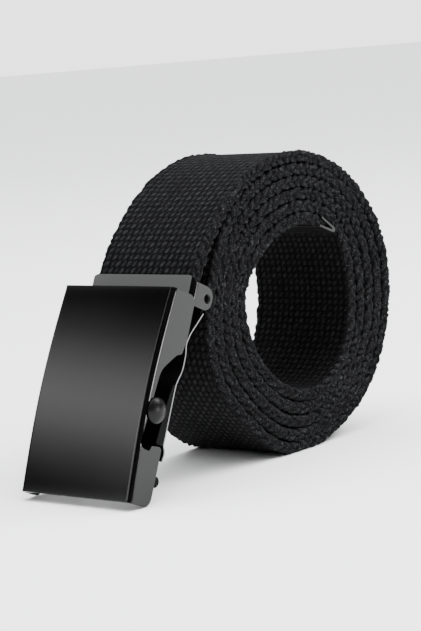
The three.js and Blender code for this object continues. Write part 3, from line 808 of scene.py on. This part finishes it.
# Clamp pin: a plain turned steel pin, dark with oil, with slightly hollow ends. It carries the
# lever, and its ends lie sunk behind the holes of the two ears.
def turned(profile, down, behind, steps=28):
    """A body turned about the buckle's width from (radius, across) points."""
    deselect()
    bpy.ops.mesh.primitive_circle_add(vertices=len(profile), radius=0.01, fill_type="NOTHING")
    body = bpy.context.object
    for vertex, (radius, across) in zip(body.data.vertices, profile):
        vertex.co = (behind + radius, across, -down)
    pick(body, "EDGE", lambda a, b: max(abs(a.x - behind), abs(b.x - behind)) < 1e-7)
    bpy.ops.mesh.delete(type="EDGE")
    bpy.ops.mesh.select_mode(type="VERT")
    bpy.ops.mesh.select_all(action="SELECT")
    bpy.ops.mesh.spin(steps=steps, angle=2 * math.pi, center=(behind, 0, -down), axis=(0, 1, 0))
    bpy.ops.mesh.select_all(action="SELECT")
    bpy.ops.mesh.remove_doubles(threshold=0.000005)
    bpy.ops.mesh.normals_make_consistent(inside=False)
    bpy.ops.object.mode_set(mode="OBJECT")
    bpy.ops.object.shade_smooth_by_angle(angle=math.radians(35))
    return body


pin_radius, pin_sunk = 0.0012, 0.0012
hollow_radius, hollow_deep, rim_radius, rim_round = 0.0007, 0.0003, 0.00095, 0.0001
half = bracket_half - pin_sunk
pin = turned([
    (0, -half + hollow_deep), (hollow_radius, -half + hollow_deep), (rim_radius, -half),
    (pin_radius, -half + rim_round), (pin_radius, half - rim_round), (rim_radius, half),
    (hollow_radius, half - hollow_deep), (0, half - hollow_deep),
], -pin_up, pin_behind)
lean_in_place(pin)
oiled_steel = painted("dark_oiled_steel", (0.001, 0.001, 0.0011), 0.5, 0.1, 0.00001, 7000, specular=0.04)
finished("clamp_pin_steel", pin, "belt", ["clamp_pin"], oiled_steel)


# Clamp lever: a stamped steel plate with a knuckle round the pin, two joggles across it, two
# small flanges that the lock bar presses, and an upturned tail. Dark with oil, its sheared side
# edges bare.
run_gap, knuckle_wall = 0.0003, 0.0006
knuckle = pin_radius + run_gap + knuckle_wall
lever_wide, lever_narrow, lever_sheet = bracket_half, web_width / 2, 0.0004
lever_behind, joggle, lip, knee_rise, foot_gap = 0.0103, 0.0016, 0.001, 0.0034, 0.0045
flange_start, flange_end = high_down + run_gap, seat_down - run_gap
flange_top, flange_middle, flange_foot = 0.0011, 0.002, 0.0034
cross_down, cross_behind, cross_radius = 0.0544, 0.0100, 0.00165
lever_end = cross_down - cross_radius - foot_gap
steps_room = flange_start - mouth_down


def strip_outline(points, thickness):
    points = [np.array(p) for p in points]
    sides = {1: [], -1: []}
    for k, p in enumerate(points):
        arrive = p - points[max(k - 1, 0)]
        depart = points[min(k + 1, len(points) - 1)] - p
        arrive = arrive / (np.linalg.norm(arrive) or 1)
        depart = depart / (np.linalg.norm(depart) or 1)
        way = arrive + depart
        way /= np.linalg.norm(way)
        mitre = 1 / max(float(way @ (depart if k == 0 else arrive)), 0.5)
        for s in sides:
            sides[s].append(p + np.array([-way[1], way[0]]) * s * mitre * thickness / 2)
    return [tuple(p) for p in sides[1]] + [tuple(p) for p in reversed(sides[-1])]


def softened(points, radius=0.0016, steps=4):
    """A strip's middle line with its inner corners rounded."""
    soft = [points[0]]
    for before, here, after in zip(points, points[1:], points[2:]):
        b, h, a = (np.array(p) for p in (before, here, after))
        cut = min(radius, 0.45 * np.linalg.norm(b - h), 0.45 * np.linalg.norm(a - h))
        enter = h + (b - h) / np.linalg.norm(b - h) * cut
        leave = h + (a - h) / np.linalg.norm(a - h) * cut
        for s in range(steps + 1):
            t = s / steps
            soft.append(tuple((1 - t) ** 2 * enter + 2 * t * (1 - t) * h + t * t * leave))
    return soft + [points[-1]]


lever = side_block(strip_outline(softened([
    (-pin_up + run_gap, pin_behind + knuckle - lever_sheet / 2),
    (mouth_down - knee_rise, lever_behind + joggle),
    (mouth_down - knee_rise * 0.1, lever_behind + joggle * 0.5),
    (mouth_down + steps_room * 0.2, lever_behind + joggle),
    (mouth_down + steps_room * 0.6, lever_behind + joggle),
    (flange_start - lever_sheet, lever_behind), (flange_end, lever_behind),
    (flange_end + lip, lever_behind + lip * 0.8),
    ((flange_end + lever_end) / 2, lever_behind + lip), (lever_end, lever_behind + lip * 0.7),
]), lever_sheet), -lever_wide, lever_wide)
cut_edge = painted("sheared_steel_edge", (0.15, 0.15, 0.155), 0.35, 0.1, 0.00001, 6000, metallic=0.9)
lever.data.materials.append(oiled_steel)
lever.data.materials.append(cut_edge)
for face in lever.data.polygons:
    if abs(face.normal.y) > 0.9:
        face.material_index = 1
ear_room = math.hypot(ear_lower + pin_up, ear_reach) + run_gap
for side in (-1, 1):
    deselect()
    bpy.ops.mesh.primitive_cylinder_add(
        vertices=40, radius=ear_room, depth=0.01,
        location=(pin_behind, side * (lever_narrow + 0.005), pin_up), rotation=(math.pi / 2, 0, 0))
    cut_with(lever, bpy.context.object, "DIFFERENCE")
deselect()
bpy.ops.mesh.primitive_cylinder_add(
    vertices=36, radius=knuckle, depth=2 * lever_narrow, location=(pin_behind, 0, pin_up),
    rotation=(math.pi / 2, 0, 0))
cut_with(lever, bpy.context.object, "UNION")
for side in (-1, 1):
    outer = side * lever_wide
    inner = side * (lever_wide - lever_sheet)
    flange = side_block(rounded([
        (flange_start, lever_behind, 0), (flange_start, lever_behind - flange_top, 0.0005),
        (flange_start + steps_room * 0.4, lever_behind - flange_middle, 0.002),
        (flange_end, lever_behind - flange_foot, 0.0006), (flange_end, lever_behind, 0),
    ]), min(outer, inner), max(outer, inner))
    cut_with(lever, flange, "UNION")
deselect()
bpy.ops.mesh.primitive_cylinder_add(
    vertices=28, radius=pin_radius + run_gap, depth=2 * past_sides, location=(pin_behind, 0, pin_up),
    rotation=(math.pi / 2, 0, 0))
cut_with(lever, bpy.context.object, "DIFFERENCE")
ease_edges(lever, 0.00012)
lean_in_place(lever)
finished("clamp_lever_steel", lever, "lever", ["clamp_lever"], oiled_steel)


# Lock bar: a round steel bar, painted black, with a domed knob outside the near wall and a low
# peened head outside the far one. The thumb slides it up and down in the channels.
knob_face = box_width / 2 + run_gap
bar_radius, knob_radius, knob_height, dome_radius = 0.002, 0.0036, 0.002, 0.0051
peen_radius, peen_height = 0.0027, 0.0004
profile = [(0, -knob_face - knob_height)]
for k in range(1, 10):
    r = knob_radius * k / 9
    profile.append((r, -knob_face - knob_height + dome_radius - math.sqrt(dome_radius ** 2 - r * r)))
profile += [
    (knob_radius + 0.00015, -knob_face - 0.0002), (knob_radius, -knob_face), (bar_radius, -knob_face),
    (bar_radius, knob_face), (peen_radius - 0.0001, knob_face), (peen_radius, knob_face + 0.0001),
    (peen_radius - 0.0002, knob_face + peen_height), (0, knob_face + peen_height),
]
bar = turned(profile, bar_down, bar_behind, steps=36)
lean_in_place(bar)
knob_paint = painted(
    "smooth_black_paint", (0.0012, 0.0012, 0.0013), 0.36, 0.06, 0.000004, 6000, specular=0.15)
finished("lock_bar_steel", bar, "bar", ["lock_bar"], knob_paint)


# Cross bar: a round steel bar, dark with oil, fixed between the walls near the box's foot,
# where the belt's free end goes in.
cross_half = wall_inside - touch_gap
cross = turned([
    (0, -cross_half), (cross_radius - 0.0002, -cross_half), (cross_radius, -cross_half + 0.0002),
    (cross_radius, cross_half - 0.0002), (cross_radius - 0.0002, cross_half), (0, cross_half),
], cross_down, cross_behind, steps=24)
lean_in_place(cross)
finished("cross_bar_steel", cross, "belt", ["cross_bar"], oiled_steel)


# Tip clip: a piece of blackened sheet steel, folded over the inner end of the webbing across
# its whole width. The webbing is squeezed thin inside it.
clip_sheet, clip_length, clip_nose = 0.0007, 0.008, 0.0016
mouth = 0.00105
clip = side_block(rounded([
    (0, mouth + clip_sheet, 0.0001), (clip_length, clip_nose / 2, clip_nose / 2),
    (clip_length, -clip_nose / 2, clip_nose / 2), (0, -mouth - clip_sheet, 0.0001),
    (0, -mouth, 0.0001), (clip_length - clip_nose, -clip_nose / 8, 0.0002),
    (clip_length - clip_nose, clip_nose / 8, 0.0002), (0, mouth, 0.0001),
]), -web_width / 2 - 0.0002, web_width / 2 + 0.0002)
ease_edges(clip, 0.00008)
seat = route[1] + tip_back * touch_gap
place_clip = Matrix((
    (-tip_back[1], 0, -tip_back[0], seat[0]),
    (0, 1, 0, 0),
    (tip_back[0], 0, -tip_back[1], seat[1]),
    (0, 0, 0, 1),
))
clip.data.transform(place_clip)
clip_finish = painted("blackened_steel", (0.004, 0.004, 0.0042), 0.3, 0.1, 0.00001, 5000, specular=0.25)
finished("tip_clip_steel", clip, "belt", ["tip_clip"], clip_finish)
